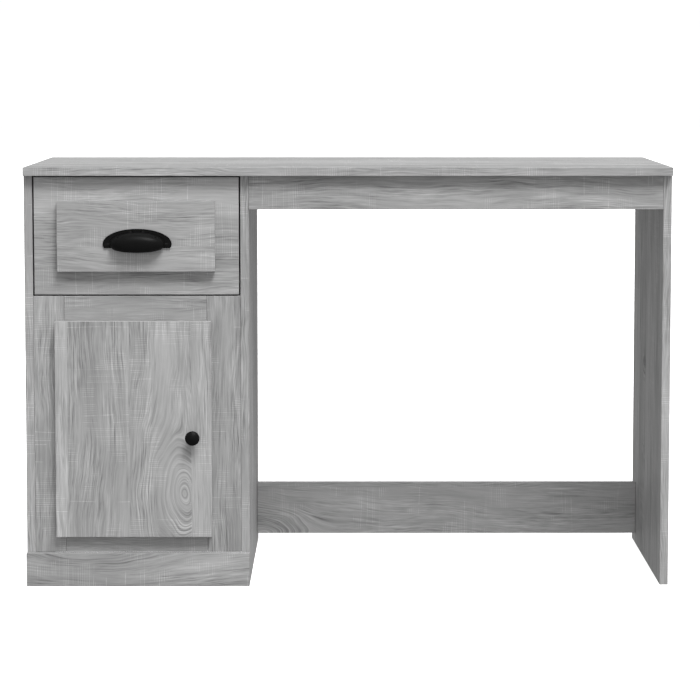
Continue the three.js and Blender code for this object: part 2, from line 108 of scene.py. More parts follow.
class Finish:
    """A material's node tree, built with short calls."""

    def __init__(self, name, roughness=0.5, metallic=0.0):
        self.material = bpy.data.materials.new(name)
        self.material.use_nodes = True
        self.tree = self.material.node_tree
        self.shader = self.tree.nodes["Principled BSDF"]
        self.shader.inputs["Roughness"].default_value = roughness
        self.shader.inputs["Metallic"].default_value = metallic

    def feed(self, socket, value):
        if isinstance(value, bpy.types.NodeSocket):
            self.tree.links.new(value, socket)
        else:
            socket.default_value = value

    def math(self, operation, *values):
        node = self.tree.nodes.new("ShaderNodeMath")
        node.operation = operation
        for socket, value in zip(node.inputs, values):
            self.feed(socket, value)
        return node.outputs[0]

    def add(self, *values):
        total = values[0]
        for value in values[1:]:
            total = self.math("ADD", total, value)
        return total

    def times(self, a, b):
        return self.math("MULTIPLY", a, b)

    def vector(self, x, y, z=0.0):
        node = self.tree.nodes.new("ShaderNodeCombineXYZ")
        for socket, value in zip(node.inputs, (x, y, z)):
            self.feed(socket, value)
        return node.outputs[0]

    def split(self, vector):
        node = self.tree.nodes.new("ShaderNodeSeparateXYZ")
        self.feed(node.inputs[0], vector)
        return node.outputs

    def place(self):
        return self.tree.nodes.new("ShaderNodeTexCoord").outputs["Object"]

    def uv(self, name):
        node = self.tree.nodes.new("ShaderNodeUVMap")
        node.uv_map = name
        return node.outputs[0]

    def noise(self, vector, scale=1.0, detail=2.0, roughness=0.5):
        node = self.tree.nodes.new("ShaderNodeTexNoise")
        self.feed(node.inputs["Vector"], vector)
        self.feed(node.inputs["Scale"], scale)
        self.feed(node.inputs["Detail"], detail)
        self.feed(node.inputs["Roughness"], roughness)
        return node.outputs[0]

    def chance(self, value):
        node = self.tree.nodes.new("ShaderNodeTexWhiteNoise")
        node.noise_dimensions = "1D"
        self.feed(node.inputs["W"], value)
        return self.split(node.outputs["Color"])

    def between(self, value, low, high, to_low=0.0, to_high=1.0, smooth=False):
        node = self.tree.nodes.new("ShaderNodeMapRange")
        node.interpolation_type = "SMOOTHSTEP" if smooth else "LINEAR"
        for socket, number in zip(node.inputs, (value, low, high, to_low, to_high)):
            self.feed(socket, number)
        return node.outputs[0]

    def grey(self, brightness, tint=(1.0, 1.0, 1.0)):
        node = self.tree.nodes.new("ShaderNodeCombineColor")
        for socket, share in zip(node.inputs, tint):
            self.feed(socket, brightness if share == 1.0 else self.times(brightness, share))
        return node.outputs[0]

    def colour(self, value):
        self.feed(self.shader.inputs["Base Color"], value)

    def rough(self, value):
        self.feed(self.shader.inputs["Roughness"], value)

    def bump(self, height, distance, strength=1.0):
        node = self.tree.nodes.new("ShaderNodeBump")
        node.inputs["Strength"].default_value = strength
        node.inputs["Distance"].default_value = distance
        self.feed(node.inputs["Height"], height)
        self.tree.links.new(node.outputs[0], self.shader.inputs["Normal"])

    def set(self, **values):
        for name, value in values.items():
            self.shader.inputs[name.replace("_", " ")].default_value = value


# %% [markdown]
# ## Grey oak laminate
# The print copies rough-sawn oak: planks about a hand wide, each a little lighter or darker than
# its neighbour, long flame shapes where the saw met the growth rings, fine fibres that wander
# with them, and patches of pale marks across the grain where the saw blade chattered.
# An image would be the quick way. Here each of those is its own small formula on the board's
# grain map, where U runs along the grain and V across it, both in metres.

# %% Make the grey oak laminate
OAK_BRIGHTNESS = 0.375
PLANK_WIDTH = 0.11
RING_SPACING = 0.0075
EYE_SPACING = 1.3
EYE_RADIUS = 0.05
EYE_SQUASH = 0.5
SAW_SPACING = 0.0036


def grey_oak():
    oak = Finish("grey_oak", roughness=0.5)
    along, across, _ = oak.split(oak.uv("grain"))

    # Which plank this point is on, and that plank's own chance numbers.
    plank = oak.math("FLOOR", oak.math("DIVIDE", across, PLANK_WIDTH))
    plank_tone, heart_share, plank_seed = oak.chance(oak.add(plank, 0.5))
    shifted = oak.add(along, oak.times(plank_seed, 7.0))

    # The fibres wander a little, slowly and then quickly.
    def wander(per_metre_along, per_metre_across, reach):
        place = oak.vector(
            oak.times(shifted, per_metre_along), oak.times(across, per_metre_across), plank
        )
        return oak.times(oak.add(oak.noise(place, detail=1.0), -0.5), reach)

    wandering = oak.add(across, wander(2.5, 5.0, 0.05), wander(11.0, 26.0, 0.012))

    # The grain runs straight on most planks. On a few it flows round a knot, as water does round
    # a stone, and inside the knot's outline the growth rings close like an eye.
    heart = oak.times(oak.add(plank, heart_share), PLANK_WIDTH)
    sideways = oak.math("SUBTRACT", wandering, heart)
    turn_number = oak.math("DIVIDE", shifted, EYE_SPACING)
    from_eye = oak.times(
        oak.math("SUBTRACT", turn_number, oak.math("ROUND", turn_number)), EYE_SPACING
    )
    has_eye = oak.math("COMPARE", plank_seed, 0.5, 0.06)
    eye_radius = oak.times(has_eye, EYE_RADIUS)
    squashed = oak.add(oak.times(from_eye, EYE_SQUASH), wander(9.0, 22.0, 0.022))
    distance = oak.math(
        "SQRT", oak.add(oak.times(sideways, sideways), oak.times(squashed, squashed))
    )
    pushed = oak.math("DIVIDE", eye_radius, oak.math("MAXIMUM", distance, 0.0001))
    outside = oak.times(sideways, oak.math("SUBTRACT", 1.0, oak.times(pushed, pushed)))
    inside = oak.math("SUBTRACT", distance, eye_radius)
    in_eye = oak.math("LESS_THAN", distance, eye_radius)
    flow = oak.add(
        oak.times(outside, oak.math("SUBTRACT", 1.0, in_eye)), oak.times(inside, in_eye)
    )

    # Everything in the print is noise stretched along the grain and bent with its flow.
    def streaks(per_metre_along, per_metre_across, layer, detail=2.0):
        place = oak.vector(
            oak.times(shifted, per_metre_along),
            oak.times(flow, per_metre_across),
            oak.add(oak.times(plank, 3.7), layer),
        )
        return oak.noise(place, detail=detail, roughness=0.6)

    def patches(per_metre_along, per_metre_across, layer, low, high, to_low=0.0, to_high=1.0):
        place = oak.vector(
            oak.times(shifted, per_metre_along), oak.times(wandering, per_metre_across), layer
        )
        return oak.between(oak.noise(place), low, high, to_low, to_high, smooth=True)

    ring = oak.math("FRACT", oak.math("DIVIDE", flow, RING_SPACING))
    late_wood = oak.times(
        oak.between(ring, 0.1, 0.8, smooth=True), oak.between(ring, 0.82, 1.0, 1.0, 0.0)
    )
    near_eye = oak.times(
        oak.times(has_eye, oak.between(distance, 0.06, 0.10, 1.0, 0.0, smooth=True)),
        oak.between(distance, 0.005, 0.03, 0.3, 1.0),
    )
    ring_strength = oak.times(
        oak.add(oak.times(near_eye, 0.9), patches(5.0, 22.0, 3.0, 0.5, 0.66, 0.1, 0.7)),
        patches(16.0, 60.0, 4.0, 0.3, 0.6, 0.4, 1.0),
    )

    fibre_strength = patches(5.0, 22.0, 21.0, 0.32, 0.68, 0.35, 1.7)
    bands = oak.add(streaks(1.3, 17.0, 5.0), -0.5)
    clouds = oak.add(streaks(7.0, 42.0, 6.0, detail=3.0), -0.5)
    fibres = oak.add(streaks(13.0, 380.0, 0.0), -0.5)
    threads = oak.add(streaks(24.0, 760.0, 7.0), -0.5)
    hairs = oak.add(streaks(40.0, 1700.0, 9.0, detail=1.0), -0.5)
    pores = oak.between(streaks(34.0, 620.0, 15.0), 0.40, 0.30, smooth=True)

    # The saw left pale scratches straight across the grain, in patches, and a few long ones.
    jitter = oak.noise(oak.vector(oak.times(shifted, 30.0), oak.times(across, 8.0)), detail=0.0)
    stroke = oak.add(oak.math("DIVIDE", shifted, SAW_SPACING), oak.times(jitter, 2.5))
    stroke_strength = oak.chance(oak.math("FLOOR", stroke))[0]
    scratch = oak.between(oak.math("PINGPONG", stroke, 0.5), 0.28, 0.46, smooth=True)
    saw_patch = patches(13.0, 15.0, 12.0, 0.51, 0.6)
    lone_stroke = oak.times(
        oak.between(stroke_strength, 0.955, 0.965), patches(20.0, 12.0, 31.0, 0.5, 0.56)
    )
    saw_marks = oak.times(
        scratch, oak.math("MAXIMUM", oak.times(saw_patch, stroke_strength), lone_stroke)
    )
    saw_marks = oak.times(saw_marks, oak.between(fibres, -0.2, 0.15, 0.5, 1.3))

    # Each board's tone, read from its faces: its own tone of print, and also painted light and shade on
    # the desktop and the back rail.
    board_tone_and_painted_light = oak.tree.nodes.new("ShaderNodeAttribute")
    board_tone_and_painted_light.attribute_name = "tone"
    figure = oak.add(
        oak.times(fibres, 0.95), oak.times(threads, 0.8), oak.times(hairs, 0.5), oak.times(pores, -0.15)
    )
    brightness = oak.add(
        1.0,
        board_tone_and_painted_light.outputs["Fac"],
        oak.times(oak.add(plank_tone, -0.5), 0.16),
        oak.times(bands, 0.8),
        oak.times(clouds, 0.6),
        oak.times(oak.times(late_wood, ring_strength), -0.2),
        oak.times(figure, fibre_strength),
        oak.times(saw_marks, 0.42),
    )
    oak.colour(oak.grey(oak.times(brightness, OAK_BRIGHTNESS)))
    oak.rough(oak.between(fibres, -0.2, 0.2, 0.58, 0.46))
    relief = oak.add(threads, oak.times(pores, -0.5), oak.times(saw_marks, 0.4))
    oak.bump(relief, 0.1 * MM)
    oak.set(Specular_IOR_Level=0.35)
    return oak.material


oak_laminate = grey_oak()
print("grey oak has", len(oak_laminate.node_tree.nodes), "nodes")

# %% [markdown]
# ## The other finishes
# The hidden parts have plainer skins: raw chipboard where a board's foot isn't banded, painted
# hardboard, paper-faced drawer sides, powder-coated handles, zinc-plated fittings, white
# enamelled runners and nylon rollers. None is one flat colour: each gets the specks, streaks
# or brushing of the real thing, worked out from the point's own place.

# %% Make the other finishes


def chipboard():
    chips = Finish("chipboard", roughness=0.9)
    flakes = chips.noise(chips.place(), scale=420, detail=3, roughness=0.7)
    shade = chips.between(flakes, 0.3, 0.7, 0.22, 0.62)
    chips.colour(chips.grey(shade, (1.0, 0.78, 0.55)))
    chips.bump(flakes, 0.4 * MM)
    return chips.material


def painted_hardboard():
    paint = Finish("painted_hardboard", roughness=0.6)
    fuzz = paint.noise(paint.place(), scale=700, detail=2)
    cloud = paint.noise(paint.place(), scale=9, detail=2)
    shade = paint.add(paint.between(fuzz, 0.3, 0.7, -0.02, 0.02), paint.between(cloud, 0, 1, 0.52, 0.6))
    paint.colour(paint.grey(shade, (1.0, 0.995, 0.985)))
    paint.rough(paint.between(fuzz, 0.3, 0.7, 0.55, 0.68))
    paint.bump(fuzz, 0.05 * MM)
    return paint.material


def drawer_paper():
    paper = Finish("drawer_paper", roughness=0.6)
    x, y, z = paper.split(paper.place())
    linen = paper.noise(paper.vector(paper.times(x, 160), paper.times(y, 60), paper.times(z, 420)))
    cloud = paper.noise(paper.place(), scale=14, detail=2)
    shade = paper.add(paper.between(linen, 0.3, 0.7, -0.03, 0.03), paper.between(cloud, 0, 1, 0.55, 0.62))
    paper.colour(paper.grey(shade))
    paper.rough(paper.between(linen, 0.3, 0.7, 0.5, 0.62))
    paper.bump(linen, 0.04 * MM)
    return paper.material


def black_powder_coat():
    coat = Finish("black_powder_coat", roughness=0.38)
    orange_peel = coat.noise(coat.place(), scale=900, detail=2, roughness=0.6)
    wear = coat.noise(coat.place(), scale=60, detail=3)
    coat.colour(coat.grey(coat.between(orange_peel, 0.3, 0.7, 0.004, 0.008)))
    coat.rough(coat.between(wear, 0.3, 0.7, 0.34, 0.48))
    coat.bump(orange_peel, 0.08 * MM)
    coat.set(Specular_IOR_Level=0.08)
    return coat.material


def zinc_plate():
    zinc = Finish("zinc_plate", roughness=0.32, metallic=1.0)
    x, y, z = zinc.split(zinc.place())
    streak = zinc.noise(zinc.vector(zinc.times(x, 300), zinc.times(y, 300), zinc.times(z, 2200)))
    cloud = zinc.noise(zinc.place(), scale=120, detail=2)
    zinc.colour(zinc.grey(zinc.between(cloud, 0.3, 0.7, 0.52, 0.66), (1.0, 0.99, 0.96)))
    zinc.rough(zinc.between(streak, 0.3, 0.7, 0.26, 0.42))
    zinc.bump(streak, 0.01 * MM)
    return zinc.material


def white_enamel():
    enamel = Finish("white_enamel", roughness=0.35)
    ripple = enamel.noise(enamel.place(), scale=500, detail=2)
    cloud = enamel.noise(enamel.place(), scale=30, detail=2)
    enamel.colour(enamel.grey(enamel.between(cloud, 0.2, 0.8, 0.68, 0.76)))
    enamel.rough(enamel.between(ripple, 0.3, 0.7, 0.3, 0.42))
    enamel.bump(ripple, 0.03 * MM)
    return enamel.material


def nylon():
    plastic = Finish("nylon", roughness=0.45)
    mottling = plastic.noise(plastic.place(), scale=260, detail=3)
    shade = plastic.between(mottling, 0.3, 0.7, 0.7, 0.78)
    plastic.colour(plastic.grey(shade, (1.0, 0.99, 0.95)))
    plastic.rough(plastic.between(mottling, 0.3, 0.7, 0.4, 0.5))
    plastic.bump(mottling, 0.02 * MM)
    return plastic.material


raw_chipboard = chipboard()
hardboard = painted_hardboard()
lining = drawer_paper()
black_metal = black_powder_coat()
zinc_steel = zinc_plate()
enamelled_steel = white_enamel()
roller_nylon = nylon()
print("finishes", [material.name for material in bpy.data.materials])

# %% [markdown]
# ## From a bmesh to a piece
# Each new piece stands for one or more of the frame's nodes, rides on the body that carries
# them, and takes its finishes. One function does this bookkeeping, and leaves the object at the
# origin with its place in its mesh, as the frame's own pieces are.

# %% Turn a bmesh into a piece
SMOOTH_LIMIT = math.radians(35)
record = frame["record"]
body_of = {node: body for body, nodes in record["behaviour"]["bodies"].items() for node in nodes}


def make_piece(name, bm, materials, nodes, smooth=False):
    if smooth:
        for face in bm.faces:
            face.smooth = True
        for edge in bm.edges:
            edge.smooth = edge.is_manifold and edge.calc_face_angle(0) < SMOOTH_LIMIT
    mesh = bpy.data.meshes.new(name)
    bm.to_mesh(mesh)
    bm.free()
    for material in materials:
        mesh.materials.append(material)
    piece = bpy.data.objects.new(name, mesh)
    bpy.context.scene.collection.objects.link(piece)
    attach(piece, body_of[nodes[0]])
    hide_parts(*nodes)
    return piece


# %% [markdown]
# ## Boards
# A cut board has crisp corners, but never perfectly sharp ones: the edge band is trimmed with a
# small chamfer that catches the light. A copy of the frame's board is cleaned into whole flat
# faces, and only its long edges are bevelled. A cube would lose the bores for the fittings.
# Then every face gets its grain map. On a face that holds the grain direction, U follows it; on
# an end, the edge band's print runs along the longer side.

# %% Finish a board
AXES = {"x": 0, "y": 1, "z": 2}
EDGE_ROUNDING = 0.6 * MM
LONG_EDGE = 11 * MM


def clean_copy(node):
    """A node's mesh with its loose triangles joined and its flat faces whole."""
    bm = bmesh.new()
    bm.from_mesh(frame["nodes"][node].data)
    bmesh.ops.remove_doubles(bm, verts=bm.verts, dist=0.005 * MM)
    bmesh.ops.dissolve_limit(
        bm, angle_limit=math.radians(0.5), verts=bm.verts, edges=bm.edges
    )
    return bm


def bevel_edges(bm, width, shortest=0.0, segments=2, sharpest=math.radians(30)):
    corners = [
        edge
        for edge in bm.edges
        if edge.is_manifold and edge.calc_face_angle(0) > sharpest and edge.calc_length() > shortest
    ]
    bmesh.ops.bevel(
        bm,
        geom=corners,
        offset=width,
        offset_type="OFFSET",
        segments=segments,
        profile=0.5,
        affect="EDGES",
        clamp_overlap=True,
        material=-1,
    )


def map_grain(bm, grain, start, tones_and_painted_light):
    """U along the grain and V across it, in metres, and the tone of the wide and narrow faces, which on
    the desktop and the back rail is partly painted light and shade.
    """
    tone_and_painted_light_layer = bm.faces.layers.float.new("tone")
    layer = bm.loops.layers.uv.new("grain")
    lows = Vector(min(vert.co[axis] for vert in bm.verts) for axis in range(3))
    highs = Vector(max(vert.co[axis] for vert in bm.verts) for axis in range(3))
    extent = highs - lows
    for face in bm.faces:
        facing = max(range(3), key=lambda axis: abs(face.normal[axis]))
        inside = [axis for axis in range(3) if axis != facing]
        along = grain if grain in inside else max(inside, key=lambda axis: extent[axis])
        across = next(axis for axis in inside if axis != along)
        # Wide faces and edges get tones of their own. On the desktop and the back rail these tones paint
        # light and shade.
        wide = grain in inside and extent[across] > 20 * MM
        lift = 0.0 if wide else 0.037 * (facing + 1)
        face[tone_and_painted_light_layer] = tones_and_painted_light[0] if wide else tones_and_painted_light[1]
        for loop in face.loops:
            place = loop.vert.co
            loop[layer].uv = (place[along] + start[0], place[across] + start[1] + lift)


def finish_board(node, grain, start, tones_and_painted_light, raw_foot):
    bm = clean_copy(node)
    bevel_edges(bm, EDGE_ROUNDING, shortest=LONG_EDGE)
    map_grain(bm, AXES[grain], start, tones_and_painted_light)
    if raw_foot:
        for face in bm.faces:
            if face.normal.z < -0.9:
                face.material_index = 1
    materials = [oak_laminate, raw_chipboard]
    return make_piece(f"{node}_board", bm, materials, [node])


# %% [markdown]
# Each board is cut from a different place in the print, so each has its own start on the grain
# map, and the standing boards have their grain upright. The feet of the standing boards are raw.
# The starts of the desktop, the drawer front and the door count planks, because these three were
# picked: their planks are light, dark or knotty in the order that the desk needs.

# %% Finish all the boards
BOARDS = {
    # node: (grain, start along, start across, tone of the faces and edges, partly painted light and shade
    # on the desktop and back rail, raw foot)
    # The desktop's top and underside are painted darker and its edges lighter: painted shade and painted
    # light for how the key light falls on them.
    "desktop": ("x", 0.31, 247 * PLANK_WIDTH - 0.094, (-0.08, 0.16), False),
    "cabinet_side_left": ("z", 1.37, 0.46, (-0.05, 0.0), True),
    "cabinet_side_right": ("z", 2.11, 0.83, (-0.05, -0.05), True),
    "leg_panel": ("z", 3.05, 0.29, (-0.05, 0.08), True),
    "cabinet_floor": ("x", 4.4, 0.64, (0.0, 0.0), False),
    "drawer_divider": ("x", 5.2, 0.15, (0.0, 0.0), False),
    "plinth": ("x", 6.1, 0.55, (-0.09, -0.09), True),
    "frame_stile_left": ("z", 7.3, 0.37, (0.02, 0.02), False),
    "frame_stile_right": ("z", 8.4, 0.92, (-0.12, -0.07), False),
    "frame_rail_top": ("x", 9.2, 0.71, (-0.12, -0.07), False),
    "frame_rail_bottom": ("x", 10.3, 0.12, (0.0, 0.0), False),
    "apron": ("x", 11.4, 0.58, (-0.12, -0.08), False),
    # The back rail is painted lighter: painted light for the soft key light that reaches it under the
    # desktop.
    "back_rail": ("x", 12.6, 0.33, (0.26, 0.2), False),
    "drawer_front": ("x", 13.7, 235 * PLANK_WIDTH - 0.63, (0.08, 0.02), False),
    "drawer_front_panel": ("x", 14.9, 0.49, (0.06, 0.06), False),
    "door": ("z", 14.561, 27 * PLANK_WIDTH + 0.279, (0.07, 0.07), False),
}
for node, (grain, along, across, tones_and_painted_light, raw) in BOARDS.items():
    finish_board(node, grain, (along, across), tones_and_painted_light, raw)
print("boards", len(BOARDS))

# %% [markdown]
# ## Plain boards inside
# The drawer's sides and back and the two hardboard sheets get the same clean copy and a finer
# edge, but their skins have no direction, so they need no grain map.

# %% Finish the plain boards
PLAIN_BOARDS = {
    "drawer_side_left": lining,
    "drawer_side_right": lining,
    "drawer_back": lining,
    "drawer_base": hardboard,
    "cabinet_back": hardboard,
}
for node, material in PLAIN_BOARDS.items():
    plain = clean_copy(node)
    bevel_edges(plain, 0.3 * MM, shortest=LONG_EDGE)
    make_piece(f"{node}_board", plain, [material], [node])
print("plain boards", len(PLAIN_BOARDS))

# %% [markdown]
# ## Pressed and turned metal
# A few helpers serve all the metal pieces. `cut_off` trims a shape with a plane, and `merge_into`
# adds one shape to another. The knob, the hinge cups, the rollers, the cams and the screw heads
# are all round, so each is a profile of radius and distance pairs, spun about an axis and then
# laid along any direction.

# %% Cut, merge and spin


def cut_off(bm, point, normal, keep=False):
    """Cuts along a plane and, unless both sides are kept, removes the side its normal points to."""
    geometry = list(bm.verts) + list(bm.edges) + list(bm.faces)
    bmesh.ops.bisect_plane(
        bm, geom=geometry, dist=1e-7, plane_co=point, plane_no=normal, clear_outer=not keep
    )


def merge_into(bm, other):
    """Adds another bmesh's geometry to bm, and frees the other."""
    carrier = bpy.data.meshes.new("carrier")
    other.to_mesh(carrier)
    other.free()
    bm.from_mesh(carrier)
    bpy.data.meshes.remove(carrier)
    return bm


def spin_profile(profile, steps=64):
    """A profile of (radius, distance) points, spun about the Z axis."""
    bm = bmesh.new()
    verts = [bm.verts.new((radius, 0, distance)) for radius, distance in profile]
    edges = [bm.edges.new(pair) for pair in zip(verts, verts[1:])]
    bmesh.ops.spin(
        bm,
        geom=verts + edges,
        cent=(0, 0, 0),
        axis=(0, 0, 1),
        angle=math.tau,
        steps=steps,
        use_merge=True,
    )
    bmesh.ops.remove_doubles(bm, verts=bm.verts, dist=0.001 * MM)
    bmesh.ops.recalc_face_normals(bm, faces=bm.faces)
    return bm


def aim(bm, origin, direction):
    """Lays a piece that stands on the origin along Z in its place and direction."""
    swing = Vector((0, 0, 1)).rotation_difference(Vector(direction)).to_matrix()
    bmesh.ops.rotate(bm, verts=bm.verts, matrix=swing)
    bmesh.ops.translate(bm, verts=bm.verts, vec=origin)
    return bm


def arc(centre, radius, start, end, steps):
    """Profile points on an arc, from one angle to another in degrees."""
    angles = [math.radians(start + (end - start) * step / steps) for step in range(steps + 1)]
    return [
        (centre[0] + radius * math.cos(angle), centre[1] + radius * math.sin(angle))
        for angle in angles
    ]


# %% [markdown]
# ## The drawer's cup pull
# The pull is a pressed cup: a dome with an open underside for the fingers, on a flat rim that
# frames it. The dome starts as a sphere whose pole looks forwards. Its front is flattened a little
# towards a rounder shoulder, which is where a real one catches a curved highlight. Then it is
# stretched and cut by two planes: the drawer's face, and a plane that slopes down to the lip.
# Solidify gives it the thickness of the sheet, and two posts inside take the screws.

# %% Shape the cup pull
pull_low, pull_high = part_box("cup_pull")
PULL_HEIGHT = 34 * MM  # from the rim's ends to its top
PULL_WIDEST = 7.5 * MM  # the widest line's height above the rim's ends
PULL_SIDE = 12 * MM
PULL_TOP = 6 * MM
PULL_SHEET = 2.2 * MM
PULL_LIP_SLOPE = 0.36
PULL_SHOULDER = 2.5
RIM_THICKNESS = 2.4 * MM
RIM_END_ROUNDING = 3.2 * MM
RIM_EDGE_ROUNDING = 1.0 * MM
POST_RADIUS = 4 * MM
POST_SPACING = 64 * MM
POST_REACH = 14 * MM
pull_half = (pull_high.x - pull_low.x) / 2
pull_reach = pull_high.y - pull_low.y
pull_rise = PULL_HEIGHT - PULL_WIDEST
pull_middle = Vector(((pull_low.x + pull_high.x) / 2, pull_high.y, pull_high.z - pull_rise))


def pull_dome():
    bm = bmesh.new()
    bmesh.ops.create_uvsphere(bm, u_segments=128, v_segments=72, radius=1.0)
    bmesh.ops.rotate(bm, verts=bm.verts, matrix=Matrix.Rotation(math.pi / 2, 3, "X"))
    for vert in bm.verts:
        from_axis = min(1.0, math.hypot(vert.co.x, vert.co.z))
        reach = (1 - from_axis**PULL_SHOULDER) ** (1 / PULL_SHOULDER)
        vert.co.y = math.copysign(reach, vert.co.y)
    size = (pull_half - PULL_SIDE, pull_reach, pull_rise - PULL_TOP)
    bmesh.ops.scale(bm, verts=bm.verts, vec=size)
    cut_off(bm, (0, 0, 0), (0, 1, 0))
    cut_off(bm, (0, 0, -PULL_WIDEST), Vector((0, PULL_LIP_SLOPE, -1)).normalized())
    bmesh.ops.remove_doubles(bm, verts=bm.verts, dist=0.01 * MM)
    bmesh.ops.recalc_face_normals(bm, faces=bm.faces)
    if sum(face.normal.y for face in bm.faces) > 0:
        bmesh.ops.reverse_faces(bm, faces=bm.faces)
    bmesh.ops.solidify(bm, geom=bm.faces[:], thickness=PULL_SHEET)
    return bm


def pull_rim():
    bm = bmesh.new()
    outer = bmesh.ops.create_circle(bm, segments=128, radius=1.0)["verts"]
    bmesh.ops.scale(bm, verts=outer, vec=(pull_half, pull_rise, 1))
    inner = bmesh.ops.create_circle(bm, segments=128, radius=1.0)["verts"]
    inner_size = (pull_half - PULL_SIDE - PULL_SHEET, pull_rise - PULL_TOP - PULL_SHEET, 1)
    bmesh.ops.scale(bm, verts=inner, vec=inner_size)
    bmesh.ops.bridge_loops(bm, edges=bm.edges)
    bmesh.ops.rotate(bm, verts=bm.verts, matrix=Matrix.Rotation(math.pi / 2, 3, "X"))
    cut_off(bm, (0, 0, -PULL_WIDEST), (0, 0, -1))
    pushed = bmesh.ops.extrude_face_region(bm, geom=bm.faces[:])["geom"]
    front = [item for item in pushed if isinstance(item, bmesh.types.BMVert)]
    bmesh.ops.translate(bm, verts=front, vec=(0, -RIM_THICKNESS, 0))
    bmesh.ops.recalc_face_normals(bm, faces=bm.faces)

    def is_end_corner(edge):
        start, end = (vert.co for vert in edge.verts)
        at_bottom = max(start.z, end.z) < 0.01 * MM - PULL_WIDEST
        crosses_sheet = abs(start.y - end.y) > RIM_THICKNESS / 2
        return at_bottom and crosses_sheet and abs(start.x) > 0.9 * pull_half

    ends = [edge for edge in bm.edges if is_end_corner(edge)]
    bmesh.ops.bevel(
        bm,
        geom=ends,
        offset=RIM_END_ROUNDING,
        segments=5,
        profile=0.5,
        affect="EDGES",
        material=-1,
    )
    bevel_edges(bm, RIM_EDGE_ROUNDING, segments=3)
    return bm


def pull_post(side):
    post = [(0, 0), (POST_RADIUS, 0), (POST_RADIUS, POST_REACH), (0, POST_REACH)]
    place = (side * POST_SPACING / 2, 0, PULL_HEIGHT / 2 - PULL_WIDEST)
    return aim(spin_profile(post, 32), place, (0, -1, 0))


pull = pull_dome()
for part in (pull_rim(), pull_post(-1), pull_post(1)):
    merge_into(pull, part)
bmesh.ops.translate(pull, verts=pull.verts, vec=pull_middle)
make_piece("drawer_cup_pull", pull, [black_metal], ["cup_pull"], smooth=True)
print("cup pull", round(2 * pull_half / MM), "mm wide")

# %% [markdown]
# ## The door knob
# A mushroom knob: a small foot, a waist for the fingertips and a softly crowned head.

# %% Turn the knob
knob_low, knob_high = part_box("door_knob")
knob_foot = Vector(((knob_low.x + knob_high.x) / 2, knob_high.y, (knob_low.z + knob_high.z) / 2))
knob_radius = (knob_high.x - knob_low.x) / 2
knob_reach = knob_high.y - knob_low.y


def knob_profile():
    crown = 0.30 * knob_radius
    head = arc((knob_radius - crown, knob_reach - 1.9 * crown), crown, -60, 62, 10)
    waist = arc((0.95 * knob_radius, 0.36 * knob_reach), 0.46 * knob_radius, 230, 130, 10)
    return (
        [(0, 0), (0.62 * knob_radius, 0), (0.66 * knob_radius, 0.4 * MM)]
        + waist
        + head
        + [(0.35 * knob_radius, knob_reach - 0.3 * MM), (0, knob_reach)]
    )


knob = aim(spin_profile(knob_profile()), knob_foot, (0, -1, 0))
make_piece("black_door_knob", knob, [black_metal], ["door_knob"], smooth=True)
print("knob", round(2 * knob_radius / MM), "mm")

# %% [markdown]
# ## Screws and cams
# Every screw head and every cam has a cross for the screwdriver. A boolean could cut it, but the
# end of a turned piece is simple enough to cut with four pairs of planes: the faces that lie
# inside the cross are then pushed down together. Extruding leaves the old faces behind as a lid,
# which would hide the cross and leave the piece with inner faces, so the lid is deleted.

# %% Make the screws and cams
HEAD_RADIUS = 4 * MM
HEAD_HEIGHT = 3 * MM
SHANK_RADIUS = 2 * MM
CAM_RADIUS = 7.2 * MM
CAM_EDGE = 0.5 * MM
CAM_SLOT_WIDTH = 2 * MM
CAM_SLOT_DEPTH = 2.6 * MM
SHANK_POINT = 1.5 * MM
HEAD_CROWN = [(1.0, 0.35), (0.96, 0.62), (0.84, 0.84), (0.62, 0.96), (0, 1)]


def press_cross(bm, top, reach, width, depth):
    """Sinks a cross into the upper end of a turned piece that still stands along Z."""
    for limit in (reach / 2, width / 2):
        for normal in ((1, 0, 0), (-1, 0, 0), (0, 1, 0), (0, -1, 0)):
            cut_off(bm, Vector(normal) * limit, normal, keep=True)

    def in_cross(face):
        middle = face.calc_center_median()
        near, far = sorted((abs(middle.x), abs(middle.y)))
        return face.normal.z > 0.3 and middle.z > top and near < width / 2 and far < reach / 2

    lid = [face for face in bm.faces if in_cross(face)]
    sunk = bmesh.ops.extrude_face_region(bm, geom=lid)["geom"]
    verts = [item for item in sunk if isinstance(item, bmesh.types.BMVert)]
    bmesh.ops.delete(bm, geom=lid, context="FACES")
    bmesh.ops.translate(bm, verts=verts, vec=(0, 0, -depth))
    bmesh.ops.recalc_face_normals(bm, faces=bm.faces)
    return bm


def screw(origin, direction, radius=HEAD_RADIUS, height=HEAD_HEIGHT, shank=0.0):
    """A pan head on a face at the origin, with its shank sunk behind it."""
    crown = [(share * radius, rise * height) for share, rise in HEAD_CROWN]
    foot = [(0, 0)]
    if shank:
        point = [(0, -shank), (0.6 * SHANK_RADIUS, -shank)]
        foot = point + [(SHANK_RADIUS, -shank + SHANK_POINT), (SHANK_RADIUS, 0)]
    profile = foot + [(radius, 0)] + crown
    bm = spin_profile(profile, 32)
    press_cross(bm, 0.5 * height, 1.15 * radius, 0.26 * radius, 0.45 * height)
    return aim(bm, origin, direction)


def finish_screw(node):
    low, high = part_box(node)
    face = Vector(((low.x + high.x) / 2, high.y - HEAD_HEIGHT, (low.z + high.z) / 2))
    bm = screw(face, (0, 1, 0), shank=face.y - low.y)
    make_piece(f"{node}_turned", bm, [zinc_steel], [node], smooth=True)


